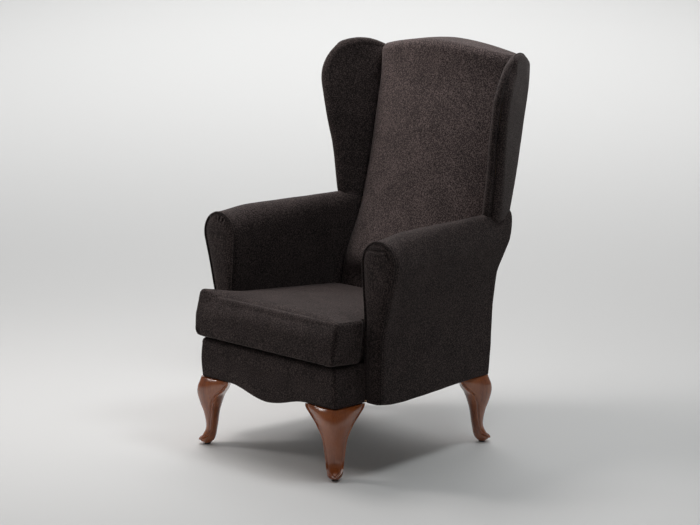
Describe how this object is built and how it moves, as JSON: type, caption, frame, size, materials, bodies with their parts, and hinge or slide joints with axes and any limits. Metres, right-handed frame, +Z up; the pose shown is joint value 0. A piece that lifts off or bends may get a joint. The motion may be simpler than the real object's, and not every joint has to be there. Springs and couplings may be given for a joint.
{
  "type": "wingback armchair",
  "caption": "Upholstered wingback armchair with scroll arms, a loose boxed seat cushion, flared wings, a dipped front border and cabriole legs",
  "frame": {"origin": "on the floor under the middle of the chair", "axes": "+Z up; -Y is the front of the chair, +Y its back; +X is the right hand side seen from the front"},
  "size_m": [0.7454, 0.7569, 1.091],
  "materials": {
    "cover_cloth": "matte",
    "piping_cloth": "matte",
    "lining_cloth": "matte",
    "dust_cloth": "matte",
    "walnut": "gloss",
    "beech": "matte",
    "plywood": "matte",
    "foam": "matte",
    "jute": "matte",
    "zip_tape": "matte",
    "steel": "satin",
    "nylon": "matte"
  },
  "bodies": {
    "chair": {"front_rail": "beech", "back_rail": "beech", "side_rail_left": "beech", "side_rail_right": "beech", "corner_block_front_left": "beech", "corner_block_front_right": "beech", "corner_block_rear_left": "beech", "corner_block_rear_right": "beech", "leg_front_left": "walnut", "leg_front_right": "walnut", "leg_rear_left": "walnut", "leg_rear_right": "walnut", "leg_bolt_front_left": "steel", "leg_bolt_front_right": "steel", "leg_bolt_rear_left": "steel", "leg_bolt_rear_right": "steel", "glide_front_left": "nylon", "glide_front_right": "nylon", "glide_rear_left": "nylon", "glide_rear_right": "nylon", "seat_spring_1": "steel", "seat_spring_2": "steel", "seat_spring_3": "steel", "seat_spring_4": "steel", "front_border": "cover_cloth", "deck_pad": "lining_cloth", "dust_cover": "dust_cloth", "arm_pad_left": "cover_cloth", "arm_pad_right": "cover_cloth", "arm_outside_cover_left": "cover_cloth", "arm_outside_cover_right": "cover_cloth", "arm_front_panel_left": "cover_cloth", "arm_front_panel_right": "cover_cloth", "arm_piping_left": "piping_cloth", "arm_piping_right": "piping_cloth", "arm_stump_left": "beech", "arm_stump_right": "beech", "arm_base_rail_left": "beech", "arm_base_rail_right": "beech", "arm_top_rail_left": "beech", "arm_top_rail_right": "beech", "back_post_left": "beech", "back_post_right": "beech", "crest_rail": "beech", "back_lower_rail": "beech", "back_web_1": "jute", "back_web_2": "jute", "back_web_3": "jute", "inner_back_pad": "cover_cloth", "outside_back_cover": "cover_cloth", "wing_pad_left": "cover_cloth", "wing_pad_right": "cover_cloth", "wing_board_left": "plywood", "wing_board_right": "plywood", "wing_outside_cover_left": "cover_cloth", "wing_outside_cover_right": "cover_cloth"},
    "seat_cushion": {"cushion_cover": "cover_cloth", "cushion_core": "foam", "cushion_zip": "zip_tape"},
    "zip_slider": {"zip_slider": "steel"}
  },
  "joints": [
    {"name": "cushion_slide", "type": "slide", "parent": "chair", "child": "seat_cushion", "axis": [0, -0.9968, 0.0802], "range_m": [0, 0.24]},
    {"name": "zip_slide", "type": "slide", "parent": "seat_cushion", "child": "zip_slider", "axis": [1, 0, 0], "range_m": [0, 0.36]}
  ]
}
